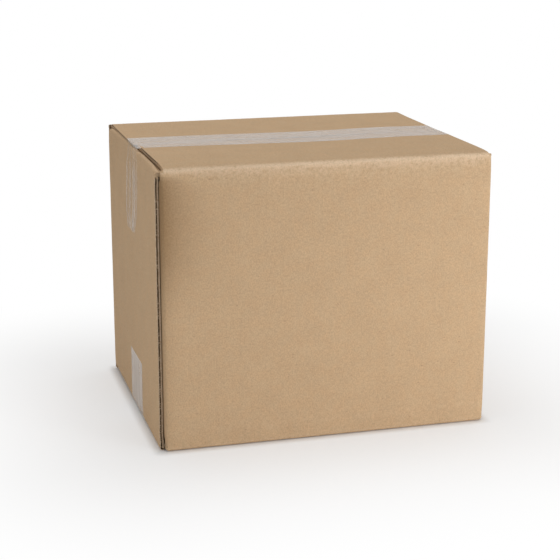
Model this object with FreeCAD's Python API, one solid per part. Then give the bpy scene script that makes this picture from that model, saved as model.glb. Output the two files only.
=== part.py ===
import FreeCAD, Part
import math
import os

# A closed carton, folded from one corrugated blank and shut with two lengths of packing tape.
# Millimetres, +Z up. The origin is the middle of the footprint, on the surface under the carton.
# The front panel faces -Y. The left end panel, whose front edge is the glued joint, faces -X.

# Board
BOARD = 3.0  # thickness of the corrugated board
LINER = 0.75  # rim left on each side of an open flute, where an edge is cut along the flutes
FLUTE_DEPTH = 1.6  # how far an open flute reaches in from such a cut edge
FLUTE_MARGIN = 4.0  # stretch beside a fold where the flutes are crushed shut
INNER_FOLD_RADIUS = 0.8  # inside of every fold

# Carton
LENGTH = 260.0  # outside, along X
WIDTH = 209.0  # outside, along Y
INSIDE_HEIGHT = 203.0  # between the inner flaps
FLAP_GAP = 0.6  # air between an inner flap and the outer flap that lies on it
SEAM_GAP = 1.0  # between the free edges of the two outer flaps
SLOT_WIDTH = 5.0  # slot between neighbouring flaps of the flat blank
SLOT_ROOT = 0.7  # from an outer flap's face to the root of a slot, where a corner's upright edge ends
JOINT_SETBACK = 5.2  # from the front face to the cut edge of the left end panel
TAB_WIDTH = 35.0  # glue tab, from the front face
TAB_SHORTFALL = 2.0  # from the end of the glue tab's root to the fold of the inner flap
TAB_SLANT = 10.0  # how much shorter the glue tab is at its free edge, at each end

# Tape
TAPE_WIDTH = 48.0
TAPE_THICKNESS = 0.1
TOP_TAPE_LEFT = 5.7  # middle of the top tape at its left end, along Y
TOP_TAPE_RIGHT = 1.6  # middle of the top tape at its right end
BOTTOM_TAPE_MIDDLE = -7.0  # middle of the bottom tape
TOP_LEFT_TAIL = 69.0  # how far the top tape comes down the left end
TOP_RIGHT_TAIL = 60.0
BOTTOM_LEFT_TAIL = 47.0  # how far the bottom tape comes up the left end
BOTTOM_RIGHT_TAIL = 45.0

# Gathers of the top tape's left tail
NECK_WIDTH = 26.0  # where the tape is gathered on the top left edge
NECK_MIDDLE = -5.0  # middle of the gathered part, along Y
SHOULDER_DEPTH = 14.0  # depth at which the gathers open out
SHOULDER_WIDTH = 43.0
SHOULDER_MIDDLE = -6.5
SPREAD_DEPTH = 40.0  # depth at which the tail has its full width again
SPREAD_MIDDLE = 0.0
TIP_WIDTH = 27.0  # torn end of the tail
TIP_LENGTH = 16.0  # stretch over which the torn end narrows
TIP_MIDDLE = 3.5

# Worked out from the sizes above
HALF_LENGTH = LENGTH / 2
HALF_WIDTH = WIDTH / 2
FOLD_RADIUS = BOARD  # the outer liner turns about the crushed inner one
FOLD_REACH = BOARD + INNER_FOLD_RADIUS  # from an outer face to the end of the fold beside it
FLAP_DROP = BOARD + FLAP_GAP  # from an outer flap's face to the inner flap's face
BOTTOM = TAPE_THICKNESS
TOP = BOTTOM + INSIDE_HEIGHT + 2 * (BOARD + FLAP_DROP)
FLAP_LENGTH = (WIDTH - SEAM_GAP) / 2
SLOT_STEP = SLOT_WIDTH / 2 - math.pi / 4 * FOLD_RADIUS  # from the end of a flat panel to its flap's edge
FLAP_EDGE = HALF_LENGTH - FOLD_RADIUS - SLOT_STEP  # side edge of an outer flap, at a plain corner
JOINT_FLAP_EDGE = FLAP_EDGE - BOARD  # the same at the joint's corner, which stands in by the tab
INNER_FLAP_EDGE = HALF_WIDTH - FOLD_RADIUS - SLOT_STEP
JOINT_Y = -HALF_WIDTH + JOINT_SETBACK
OVERRUN = 10.0  # how far a cutting block reaches past what it cuts
PARALLEL = 0.99  # least dot product of two directions that count as one


def vector(x, y, z):
    return FreeCAD.Vector(x, y, z)


def block(x_range, y_range, z_range):
    """Box between two places on each axis."""
    low = vector(x_range[0], y_range[0], z_range[0])
    size = vector(x_range[1], y_range[1], z_range[1]) - low
    return Part.makeBox(size.x, size.y, size.z, low)


def prism(points, travel):
    """Solid swept from a closed outline along a straight travel."""
    return Part.Face(Part.makePolygon(points + points[:1])).extrude(travel)


X_ALL = (-HALF_LENGTH - OVERRUN, HALF_LENGTH + OVERRUN)
Y_ALL = (-HALF_WIDTH - OVERRUN, HALF_WIDTH + OVERRUN)
Z_ALL = (BOTTOM - OVERRUN, TOP + OVERRUN)


def rounded_bar(low, high, axis, radius):
    """Box from low to high with its four edges along axis rounded."""
    size = high - low
    bar = Part.makeBox(size.x, size.y, size.z, low)
    edges = []
    for edge in bar.Edges:
        if abs(edge.tangentAt(edge.FirstParameter).dot(axis)) > PARALLEL:
            edges.append(edge)
    return bar.makeFillet(radius, edges)


def wrap(low, high, axis):
    """Board bent round a box, open along axis, with a fold at each of its four corners."""
    across = (vector(1, 1, 1) - axis) * BOARD
    outer = rounded_bar(low, high, axis, FOLD_RADIUS)
    past = axis * OVERRUN
    return outer.cut(rounded_bar(low + across - past, high - across + past, axis, INNER_FOLD_RADIUS))


def fold_bands(depth):
    """Space beside the top and bottom folds, for flaps whose outer face lies at that depth."""
    reach = depth + FOLD_REACH
    upper = block(X_ALL, Y_ALL, (TOP - reach, Z_ALL[1]))
    lower = block(X_ALL, Y_ALL, (Z_ALL[0], BOTTOM + reach))
    return upper, lower


def glue_tab_trim():
    """What is cut off both ends of the glue tab, so that it clears the inner flaps."""
    root = FLAP_DROP + FOLD_REACH + TAB_SHORTFALL
    start = -HALF_WIDTH + FOLD_REACH
    end = -HALF_WIDTH + TAB_WIDTH + OVERRUN
    slope = TAB_SLANT / (TAB_WIDTH - FOLD_REACH)
    far_root = root + slope * (end - start)
    trims = []
    for base, away in ((TOP, -1), (BOTTOM, 1)):
        points = [
            vector(-HALF_LENGTH, start, base + away * root),
            vector(-HALF_LENGTH, end, base + away * far_root),
            vector(-HALF_LENGTH, end, base - away * OVERRUN),
            vector(-HALF_LENGTH, start, base - away * OVERRUN),
        ]
        trims.append(prism(points, vector(LENGTH / 2, 0, 0)))
    return trims[0].fuse(trims[1])


def sleeve():
    """The four panels and the glue tab, with their corners upright as far as the roots of the slots."""
    z_range = (BOTTOM + SLOT_ROOT, TOP - SLOT_ROOT)
    axis = vector(0, 0, 1)
    far = vector(HALF_LENGTH, HALF_WIDTH, z_range[1])
    tab_ring = wrap(vector(-HALF_LENGTH + BOARD, -HALF_WIDTH, z_range[0]), far, axis)
    tab_part = tab_ring.common(block(X_ALL, (Y_ALL[0], -HALF_WIDTH + TAB_WIDTH), Z_ALL))
    tab_part = tab_part.cut(glue_tab_trim())
    end_ring = wrap(vector(-HALF_LENGTH, -HALF_WIDTH, z_range[0]), far, axis)
    end_part = end_ring.common(block(X_ALL, (JOINT_Y, Y_ALL[1]), Z_ALL))
    for depth, spans in ((FLAP_DROP, inner_flap_spans()), (0.0, outer_flap_spans())):
        for x_range, y_range in spans:
            wall = block(x_range, y_range, Z_ALL)
            for band in fold_bands(depth):
                end_part = end_part.cut(band.common(wall))
                tab_part = tab_part.cut(band.common(wall))
    return tab_part.fuse(end_part)


def inner_flap_spans():
    """X range of each end panel's wall, with the Y range of the inner flaps that hang on it."""
    left = (X_ALL[0], -HALF_LENGTH + BOARD)
    right = (HALF_LENGTH - BOARD, X_ALL[1])
    return (left, (JOINT_Y + SLOT_STEP, INNER_FLAP_EDGE)), (right, (-INNER_FLAP_EDGE, INNER_FLAP_EDGE))


def outer_flap_spans():
    """X range of the outer flaps at the front and at the back, with the Y range of the wall they hang on."""
    front = (Y_ALL[0], -HALF_WIDTH + BOARD)
    back = (HALF_WIDTH - BOARD, Y_ALL[1])
    return ((-JOINT_FLAP_EDGE, FLAP_EDGE), front), ((-FLAP_EDGE, FLAP_EDGE), back)


def inner_flaps():
    """The four flaps on the end panels, which are folded in first."""
    upper, lower = fold_bands(FLAP_DROP)
    z_range = (BOTTOM + FLAP_DROP, TOP - FLAP_DROP)
    middle = HALF_LENGTH - FLAP_LENGTH
    flaps = []
    for side, (_, y_range) in zip((-1, 1), inner_flap_spans()):
        low = vector(-HALF_LENGTH, y_range[0], z_range[0])
        high = vector(HALF_LENGTH, y_range[1], z_range[1])
        ring = wrap(low, high, vector(0, 1, 0))
        x_range = sorted((side * middle, side * (HALF_LENGTH + OVERRUN)))
        ring = ring.common(block(x_range, Y_ALL, Z_ALL))
        flaps.extend([ring.common(upper), ring.common(lower)])
    return flaps


def outer_flaps():
    """The four flaps on the front and back panels, which meet at the taped seam."""
    upper, lower = fold_bands(0.0)
    flaps = []
    for side, (x_range, _) in zip((-1, 1), outer_flap_spans()):
        low = vector(x_range[0], -HALF_WIDTH, BOTTOM)
        high = vector(x_range[1], HALF_WIDTH, TOP)
        ring = wrap(low, high, vector(1, 0, 0))
        y_range = sorted((side * SEAM_GAP / 2, side * (HALF_WIDTH + OVERRUN)))
        ring = ring.common(block(X_ALL, y_range, Z_ALL))
        for edge, outward in zip(x_range, (-1, 1)):
            ring = ring.cut(flap_edge_flutes(side, edge, outward))
        flaps.extend([ring.common(upper), ring.common(lower)])
    return flaps


def flap_edge_flutes(side, edge, outward):
    """Open flutes along the side edges of the top and bottom flaps on one side of the seam."""
    x_range = sorted((edge + outward, edge - outward * FLUTE_DEPTH))
    y_range = sorted((side * (HALF_WIDTH - FOLD_REACH - FLUTE_MARGIN), -side * SEAM_GAP))
    top = block(x_range, y_range, (TOP - BOARD + LINER, TOP - LINER))
    return top.fuse(block(x_range, y_range, (BOTTOM + LINER, BOTTOM + BOARD - LINER)))


def joint_flute():
    """Open flute along the cut edge of the left end panel."""
    margin = FLAP_DROP + FOLD_REACH + FLUTE_MARGIN
    x_range = (-HALF_LENGTH + LINER, -HALF_LENGTH + BOARD - LINER)
    return block(x_range, (JOINT_Y - OVERRUN, JOINT_Y + FLUTE_DEPTH), (BOTTOM + margin, TOP - margin))


def carton():
    """The folded blank as one solid: panels, flaps and glue tab."""
    panels = sleeve().cut(joint_flute())
    return panels.fuse(inner_flaps() + outer_flaps()).removeSplitter()


def tape_path(level, tail):
    """Closed XZ outline under a tape that runs over one closure and down both ends.

    level turns a depth behind the closure's face into a height.
    """
    centre_x = HALF_LENGTH - FOLD_RADIUS
    centre_depth = FLAP_DROP + FOLD_RADIUS
    run = math.hypot(centre_x - FLAP_EDGE, centre_depth)
    lean = math.atan2(centre_depth, FLAP_EDGE - centre_x) - math.acos(FOLD_RADIUS / run)

    def on_fold(angle, side):
        x = centre_x + FOLD_RADIUS * math.cos(angle)
        return vector(side * x, 0, level(centre_depth - FOLD_RADIUS * math.sin(angle)))

    def at(x, depth):
        return vector(x, 0, level(depth))

    edges = []
    for side in (-1, 1):
        edges.append(Part.makeLine(at(side * HALF_LENGTH, tail), on_fold(0, side)))
        edges.append(Part.Arc(on_fold(0, side), on_fold(lean / 2, side), on_fold(lean, side)).toShape())
        edges.append(Part.makeLine(on_fold(lean, side), at(side * FLAP_EDGE, 0)))
    edges.append(Part.makeLine(at(-FLAP_EDGE, 0), at(FLAP_EDGE, 0)))
    edges.append(Part.makeLine(at(-HALF_LENGTH, tail), at(HALF_LENGTH, tail)))
    return Part.Face(Part.Wire(Part.__sortEdges__(edges)))


def tape_skin(level, tail):
    """Tape of its real thickness over one closure, as wide as the carton."""
    under = tape_path(level, tail + OVERRUN)
    over = under.makeOffset2D(TAPE_THICKNESS, 2)
    travel = vector(0, WIDTH, 0)
    skin = over.extrude(travel).cut(under.extrude(travel))
    skin.translate(vector(0, -HALF_WIDTH, 0))
    return skin


def band(depth, middle, width):
    """One level of a tail's outline: its depth and its two edges along Y."""
    return depth, middle - width / 2, middle + width / 2


def tape(level, left_rows, right_rows, left_middle, right_middle):
    """A length of tape cut to the outline of its strip and of its two tails."""
    skin = tape_skin(level, max(left_rows[-1][0], right_rows[-1][0]))
    half = TAPE_WIDTH / 2
    strip = [
        vector(-FLAP_EDGE, left_middle - half, Z_ALL[0]),
        vector(FLAP_EDGE, right_middle - half, Z_ALL[0]),
        vector(FLAP_EDGE, right_middle + half, Z_ALL[0]),
        vector(-FLAP_EDGE, left_middle + half, Z_ALL[0]),
    ]
    face_side = block(X_ALL, Y_ALL, sorted((level(-OVERRUN), level(BOARD))))
    pieces = [skin.common(prism(strip, vector(0, 0, Z_ALL[1] - Z_ALL[0])).common(face_side))]
    for side, rows in ((-1, left_rows), (1, right_rows)):
        outline = [vector(side * FLAP_EDGE, low, level(depth)) for depth, low, _ in rows]
        outline += [vector(side * FLAP_EDGE, high, level(depth)) for depth, _, high in reversed(rows)]
        pieces.append(skin.common(prism(outline, vector(side * (HALF_LENGTH - FLAP_EDGE + OVERRUN), 0, 0))))
    return pieces[0].fuse(pieces[1:]).removeSplitter()


def plain_tail(middle, length):
    """Outline of a tail of even width with a straight end."""
    return [band(-TAPE_THICKNESS, middle, TAPE_WIDTH), band(length, middle, TAPE_WIDTH)]


def gathered_tail():
    """Outline of the tail that is gathered at the edge and torn narrower at its end."""
    return [
        band(-TAPE_THICKNESS, NECK_MIDDLE, NECK_WIDTH),
        band(SHOULDER_DEPTH, SHOULDER_MIDDLE, SHOULDER_WIDTH),
        band(SPREAD_DEPTH, SPREAD_MIDDLE, TAPE_WIDTH),
        band(TOP_LEFT_TAIL - TIP_LENGTH, SPREAD_MIDDLE, TAPE_WIDTH),
        band(TOP_LEFT_TAIL, TIP_MIDDLE, TIP_WIDTH),
    ]


def tape_top():
    """Tape over the top seam."""
    right = plain_tail(TOP_TAPE_RIGHT, TOP_RIGHT_TAIL)
    return tape(lambda depth: TOP - depth, gathered_tail(), right, TOP_TAPE_LEFT, TOP_TAPE_RIGHT)


def tape_bottom():
    """Tape under the bottom seam, on which the carton rests."""
    left = plain_tail(BOTTOM_TAPE_MIDDLE, BOTTOM_LEFT_TAIL)
    right = plain_tail(BOTTOM_TAPE_MIDDLE, BOTTOM_RIGHT_TAIL)
    return tape(lambda depth: BOTTOM + depth, left, right, BOTTOM_TAPE_MIDDLE, BOTTOM_TAPE_MIDDLE)


def main():
    os.makedirs("parts", exist_ok=True)
    for name, make in (("carton", carton), ("tape_top", tape_top), ("tape_bottom", tape_bottom)):
        shape = make()
        shape.exportStep(f"parts/{name}.step")
        size = shape.BoundBox
        print(name, "valid", shape.isValid(), "solids", len(shape.Solids), "faces", len(shape.Faces))
        print("  low", round(size.XMin, 3), round(size.YMin, 3), round(size.ZMin, 3))
        print("  high", round(size.XMax, 3), round(size.YMax, 3), round(size.ZMax, 3))
        print("  volume", round(shape.Volume, 1))


if __name__ == "__main__":
    main()
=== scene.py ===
"""A closed corrugated carton with its packing tape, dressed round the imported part.

The carton is folded in code from one flat blank, so that its walls, flaps and cut edges are one sheet.
Lengths are in millimetres until a mesh is made, and the frame is that of the part: +Z up, the front
panel facing -Y and the glued joint at the corner of -X and -Y.
"""
import logging
import math
from collections.abc import Sequence
from dataclasses import dataclass, field
from enum import Enum

import bpy
from mathutils import Matrix, Vector, noise
from mathutils.bvhtree import BVHTree


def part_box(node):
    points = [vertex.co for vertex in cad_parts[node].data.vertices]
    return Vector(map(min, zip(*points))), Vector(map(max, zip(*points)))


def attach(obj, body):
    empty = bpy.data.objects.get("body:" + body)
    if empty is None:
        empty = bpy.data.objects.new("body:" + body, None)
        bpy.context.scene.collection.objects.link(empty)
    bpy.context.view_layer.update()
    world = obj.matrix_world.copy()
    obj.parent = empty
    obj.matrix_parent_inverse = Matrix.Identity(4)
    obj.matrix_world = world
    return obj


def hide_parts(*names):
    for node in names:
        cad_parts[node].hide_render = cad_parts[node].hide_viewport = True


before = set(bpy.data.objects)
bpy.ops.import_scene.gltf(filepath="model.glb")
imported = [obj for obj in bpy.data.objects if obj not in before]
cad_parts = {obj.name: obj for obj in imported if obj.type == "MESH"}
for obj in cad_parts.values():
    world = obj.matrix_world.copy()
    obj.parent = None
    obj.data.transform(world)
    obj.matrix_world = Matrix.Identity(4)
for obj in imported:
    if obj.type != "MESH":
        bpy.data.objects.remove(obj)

LOG = logging.getLogger("carton")
MM = 0.001
BODY = "root"
QUARTER = math.pi / 2
NOISE_MEAN = 0.5
SHUT_TONE = 0.25
TAIL_START = -0.1
Pair = tuple[float, float]
Triple = tuple[float, float, float]
Colour = Triple


class Shade:
    """One socket of a node tree, so that shader maths reads as arithmetic."""

    def __init__(self, graph: "Graph", socket: bpy.types.NodeSocket) -> None:
        """Keep the socket with the tree that it belongs to."""
        self.graph = graph
        self.socket = socket

    def _math(self, operation: str, first: "Scalar", second: "Scalar") -> "Shade":
        """Add one Math node."""
        return self.graph.node("ShaderNodeMath", {"operation": operation}, {0: first, 1: second})

    def __add__(self, other: "Scalar") -> "Shade":
        """Sum of two values."""
        return self._math("ADD", self, other)

    def __radd__(self, other: "Scalar") -> "Shade":
        """Sum of two values."""
        return self._math("ADD", other, self)

    def __sub__(self, other: "Scalar") -> "Shade":
        """Difference of two values."""
        return self._math("SUBTRACT", self, other)

    def __rsub__(self, other: "Scalar") -> "Shade":
        """Difference of two values."""
        return self._math("SUBTRACT", other, self)

    def __mul__(self, other: "Scalar") -> "Shade":
        """Product of two values."""
        return self._math("MULTIPLY", self, other)

    def __rmul__(self, other: "Scalar") -> "Shade":
        """Product of two values."""
        return self._math("MULTIPLY", other, self)

    def __pow__(self, other: "Scalar") -> "Shade":
        """Power of a value."""
        return self._math("POWER", self, other)

    def __abs__(self) -> "Shade":
        """Size of a value without its sign."""
        return self._math("ABSOLUTE", self, 0.0)


Scalar = Shade | float


@dataclass(frozen=True)
class Grain:
    """A noise: its scale, its octaves and how rough they are."""

    scale: float
    detail: float = 2.0
    roughness: float = 0.5


class Graph:
    """A node tree under construction."""

    def __init__(self, tree: bpy.types.NodeTree) -> None:
        """Start from the given tree."""
        self.tree = tree

    def node(
        self,
        kind: str,
        settings: dict[str, object] | None = None,
        inputs: dict[str | int, object] | None = None,
        output: str | int | None = 0,
    ) -> Shade | None:
        """Add a node of any type.

        Args:
            kind: Blender's name of the node type.
            settings: Attributes that are set first, such as a Math node's operation.
            inputs: Values, or links, of its sockets, by name or number.
            output: The socket that is wanted, by name or number, or None where the node has none.

        Returns:
            The wanted output.
        """
        node = self.tree.nodes.new(kind)
        for name, value in (settings or {}).items():
            setattr(node, name, value)
        for key, value in (inputs or {}).items():
            if isinstance(value, Shade):
                self.tree.links.new(value.socket, node.inputs[key])
            else:
                node.inputs[key].default_value = value
        return None if output is None else Shade(self, node.outputs[output])

    def vector(self, operation: str, first: Shade, second: Shade | Triple = (0.0, 0.0, 0.0)) -> Shade:
        """Add one Vector Math node."""
        return self.node("ShaderNodeVectorMath", {"operation": operation}, {0: first, 1: second})

    def scaled(self, vector: Shade, factors: Triple) -> Shade:
        """Stretch a vector by one factor on each axis."""
        return self.vector("MULTIPLY", vector, factors)

    def turned(self, vector: Shade, degrees: float) -> Shade:
        """Turn a vector about the sheet's normal."""
        inputs = {"Vector": vector, "Angle": math.radians(degrees)}
        return self.node("ShaderNodeVectorRotate", {"rotation_type": "Z_AXIS"}, inputs)

    def grain(self, vector: Shade, grain: Grain, dimensions: str = "2D") -> Shade:
        """Noise from 0 to 1 over the sheet.

        Args:
            vector: Where the noise is read.
            grain: Its scale and roughness.
            dimensions: Blender's name of its number of dimensions.

        Returns:
            The noise.
        """
        inputs = {"Vector": vector, "Scale": grain.scale, "Detail": grain.detail}
        inputs["Roughness"] = grain.roughness
        return self.node("ShaderNodeTexNoise", {"noise_dimensions": dimensions}, inputs)

    def ramp(self, value: Shade, low: float, high: float) -> Shade:
        """Rise smoothly from 0 to 1 while the value goes from low to high."""
        inputs = {"Value": value, "From Min": low, "From Max": high}
        return self.node("ShaderNodeMapRange", {"interpolation_type": "SMOOTHSTEP"}, inputs)

    def mix(self, factor: Scalar, first: Shade | Colour, second: Shade | Colour) -> Shade:
        """Blend two colours.

        Args:
            factor: 0 for the first colour, 1 for the second.
            first: Colour at 0.
            second: Colour at 1.

        Returns:
            The blended colour.
        """
        colours = [c if isinstance(c, Shade) else (*c, 1.0) for c in (first, second)]
        inputs = {"Factor": factor, 6: colours[0], 7: colours[1]}
        return self.node("ShaderNodeMix", {"data_type": "RGBA"}, inputs, 2)

    def seen(self) -> Shade:
        """Tell the rays that show the background from light's own rays.

        Returns:
            1 on rays straight from the camera, or by way of a reflection or a clear film, and 0 on others.
        """
        names = ("Is Camera Ray", "Is Glossy Ray", "Is Transmission Ray")
        rays = [self.node("ShaderNodeLightPath", {}, {}, name) for name in names]
        return self.node("ShaderNodeMath", {"operation": "MINIMUM"}, {0: rays[0] + rays[1] + rays[2], 1: 1.0})

    def tinted(self, colour: Shade, strength: Scalar) -> Shade:
        """Make a colour lighter or darker by a factor."""
        return self.node("ShaderNodeVectorMath", {"operation": "SCALE"}, {0: colour, "Scale": strength})


def new_material(name: str) -> tuple[bpy.types.Material, Graph]:
    """Make an empty node material.

    Args:
        name: Name of the finish.

    Returns:
        The material and its graph.
    """
    material = bpy.data.materials.new(name)
    material.use_nodes = True
    material.node_tree.nodes.clear()
    return material, Graph(material.node_tree)


@dataclass(frozen=True)
class KraftLiner:
    """Brown kraft liner: felted fibres, cloudy formation, faint flute lines, paler folds worn pale with a
    painted highlight on them, and a darker colour for painted shade.
    """

    colour: Colour = (0.510, 0.358, 0.218)
    warmer: Colour = (1.015, 0.990, 0.970)
    # Pale colour of the folds: real rubbing plus a painted highlight.
    rubbed_and_highlight: Colour = (0.660, 0.500, 0.345)
    # Dark colour that paints shade on the liner.
    painted_shade_colour: Colour = (0.300, 0.190, 0.100)
    shive: Colour = (0.330, 0.215, 0.125)
    roughness: float = 0.80
    roughness_wander: float = 0.14
    specular: float = 0.05
    cloud: Grain = Grain(0.045, 3.0, 0.55)
    cloud_tone: float = 0.10
    mottle: Grain = Grain(0.34, 3.0, 0.6)
    mottle_tone: float = 0.16
    mottle_height: float = 0.02
    speck: Grain = Grain(0.85, 2.0, 0.7)
    speck_stretch: Triple = (1.1, 0.85, 1.0)
    speck_tone: float = 0.50
    speck_height: float = 0.012
    warm_patches: Grain = Grain(0.12)
    warm_from: Pair = (0.3, 0.7)
    rub_and_highlight_from: Pair = (0.35, 0.75)
    rub_and_highlight_lead: float = 0.35
    painted_shade_from: Pair = (0.30, 0.70)
    flute_pitch: float = 6.4
    flute_height: float = 0.016
    flute_tone: float = 0.006
    flute_patches: Grain = Grain(0.03)
    flute_from: Pair = (0.30, 0.70)
    fibre_turns_and_scales: tuple[Pair, ...] = ((4.0, 0.55), (38.0, 0.43), (-31.0, 0.49), (76.0, 0.36))
    fibre_stretch: Triple = (0.22, 1.0, 1.0)
    fibre_fineness: float = 2.6
    fibre_sharpness: float = 14.0
    fibre_mean: float = 0.3
    fibre_tone: float = 0.07
    fibre_height: float = 0.010
    shive_turn: float = 12.0
    shive_stretch: Triple = (0.45, 1.0, 1.0)
    shive_scale: float = 0.17
    shive_size: Pair = (0.03, 0.09)
    shive_chance: Pair = (0.70, 0.98)
    shive_strength: float = 0.6

    def build(self) -> bpy.types.Material:
        """Make the material, whose attribute "tone" is above 0 on folds worn pale with a painted highlight,
        and below 0 where shade is painted.

        Returns:
            The material.
        """
        material, graph = new_material("kraft_liner")
        sheet = graph.scaled(graph.node("ShaderNodeUVMap", {"uv_map": "blank"}), (1 / MM, 1 / MM, 1.0))
        tone = graph.node("ShaderNodeAttribute", {"attribute_name": "tone"}, {}, "Fac")
        rub_and_highlight = graph.node("ShaderNodeMath", {"operation": "MAXIMUM"}, {0: tone, 1: 0.0})
        painted_shade = graph.node("ShaderNodeMath", {"operation": "MAXIMUM"}, {0: 0.0 - tone, 1: 0.0})
        fibres = self._fibres(graph, sheet)
        flute = self._flutes(graph, sheet)
        cloud = graph.grain(sheet, self.cloud) - NOISE_MEAN
        mottle = graph.grain(sheet, self.mottle)
        speck = graph.grain(graph.scaled(sheet, self.speck_stretch), self.speck) - NOISE_MEAN
        level = 1.0 + cloud * self.cloud_tone + (mottle - NOISE_MEAN) * self.mottle_tone
        level = level + speck * self.speck_tone
        level = level + (fibres - self.fibre_mean) * self.fibre_tone + flute * self.flute_tone
        warm = tuple(a * b for a, b in zip(self.colour, self.warmer))
        patches = graph.ramp(graph.grain(sheet, self.warm_patches), *self.warm_from)
        colour = graph.mix(patches, self.colour, warm)
        colour = graph.mix(self._shives(graph, sheet) * self.shive_strength, colour, self.shive)
        # Folds worn pale, with a painted highlight in the same colour.
        rubbed_and_highlight = rub_and_highlight * graph.ramp(mottle + rub_and_highlight * self.rub_and_highlight_lead, *self.rub_and_highlight_from)
        colour = graph.mix(rubbed_and_highlight, colour, self.rubbed_and_highlight)
        # Painted shade where the tone is below 0.
        colour = graph.mix(painted_shade * graph.ramp(mottle + painted_shade, *self.painted_shade_from), colour, self.painted_shade_colour)
        height = fibres * self.fibre_height + speck * self.speck_height
        height = height + (mottle - NOISE_MEAN) * self.mottle_height + flute * self.flute_height
        bump = graph.node("ShaderNodeBump", {}, {"Height": height, "Distance": MM}, "Normal")
        surface = graph.node(
            "ShaderNodeBsdfPrincipled",
            {},
            {
                "Base Color": graph.tinted(colour, level),
                "Roughness": self.roughness + (mottle - NOISE_MEAN) * self.roughness_wander,
                "Specular IOR Level": self.specular,
                "Normal": bump,
            },
        )
        graph.node("ShaderNodeOutputMaterial", {}, {"Surface": surface}, None)
        return material

    def _flutes(self, graph: Graph, sheet: Shade) -> Shade:
        """Faint lines of the flutes under the liner, stronger in some patches.

        Args:
            graph: The material's graph.
            sheet: Place on the flat blank, in millimetres.

        Returns:
            A wave of -1 to 1 across the flutes.
        """
        along = graph.node("ShaderNodeSeparateXYZ", {}, {0: sheet}, "X")
        phase = along * (2 * math.pi / self.flute_pitch)
        wave = graph.node("ShaderNodeMath", {"operation": "COSINE"}, {0: phase})
        return wave * graph.ramp(graph.grain(sheet, self.flute_patches), *self.flute_from)

    def _fibres(self, graph: Graph, sheet: Shade) -> Shade:
        """Crossing hairlines.

        Args:
            graph: The material's graph.
            sheet: Place on the flat blank, in millimetres.

        Returns:
            0 between fibres and 1 on one.
        """
        total: Scalar = 0.0
        for degrees, scale in self.fibre_turns_and_scales:
            stretched = graph.scaled(graph.turned(sheet, degrees), self.fibre_stretch)
            hair = graph.grain(stretched, Grain(scale * self.fibre_fineness, 1.0))
            ridge = 1.0 - abs(hair * 2.0 - 1.0)
            total = ridge**self.fibre_sharpness + total
        return graph.node("ShaderNodeMath", {"operation": "MINIMUM"}, {0: total, 1: 1.0})

    def _shives(self, graph: Graph, sheet: Shade) -> Shade:
        """Scattered dark specks of bark.

        Args:
            graph: The material's graph.
            sheet: Place on the flat blank, in millimetres.

        Returns:
            1 on a speck and 0 elsewhere.
        """
        stretched = graph.scaled(graph.turned(sheet, self.shive_turn), self.shive_stretch)
        settings = {"voronoi_dimensions": "2D", "feature": "F1"}
        inputs = {"Vector": stretched, "Scale": self.shive_scale, "Randomness": 1.0}
        spots = graph.node("ShaderNodeTexVoronoi", settings, inputs, "Distance")
        chance = graph.node("ShaderNodeTexVoronoi", settings, inputs, "Color")
        pick = graph.ramp(graph.node("ShaderNodeSeparateXYZ", {}, {0: chance}, "X"), *self.shive_chance)
        return (1.0 - graph.ramp(spots, *self.shive_size)) * pick


@dataclass(frozen=True)
class CutPaper:
    """Raw cut edge of the board: pale torn fibres on the liners, with painted shade far inside the open
    flutes.
    """

    pale: Colour = (0.520, 0.400, 0.280)
    dark: Colour = (0.380, 0.265, 0.165)
    shut: Colour = (0.520, 0.370, 0.230)
    # Colour that paints the shade far inside an open flute.
    painted_flute_shade: Colour = (0.150, 0.098, 0.056)
    frays: Grain = Grain(900.0, 3.0, 0.65)
    fray_from: Pair = (0.32, 0.62)
    fray_height: float = 0.1
    painted_flute_shade_from: Pair = (SHUT_TONE, 0.6)
    roughness: float = 0.95
    specular: float = 0.1

    def build(self) -> bpy.types.Material:
        """Make the material, whose attribute "tone" is 0 on a liner, SHUT_TONE where shut, 1 in a flute.

        Returns:
            The material.
        """
        material, graph = new_material("cut_board")
        depth = graph.node("ShaderNodeAttribute", {"attribute_name": "tone"}, {}, "Fac")
        frays = graph.grain(graph.node("ShaderNodeTexCoord", {}, {}, "Object"), self.frays, "3D")
        colour = graph.mix(graph.ramp(frays, *self.fray_from), self.dark, self.pale)
        colour = graph.mix(graph.ramp(depth, 0.0, SHUT_TONE), colour, self.shut)
        # Painted shade far inside an open flute.
        colour = graph.mix(graph.ramp(depth, *self.painted_flute_shade_from), colour, self.painted_flute_shade)
        inputs = {"Height": frays, "Distance": self.fray_height * MM}
        bump = graph.node("ShaderNodeBump", {}, inputs, "Normal")
        surface = graph.node(
            "ShaderNodeBsdfPrincipled",
            {},
            {
                "Base Color": colour,
                "Roughness": self.roughness,
                "Specular IOR Level": self.specular,
                "Normal": bump,
            },
        )
        graph.node("ShaderNodeOutputMaterial", {}, {"Surface": surface}, None)
        return material


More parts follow.
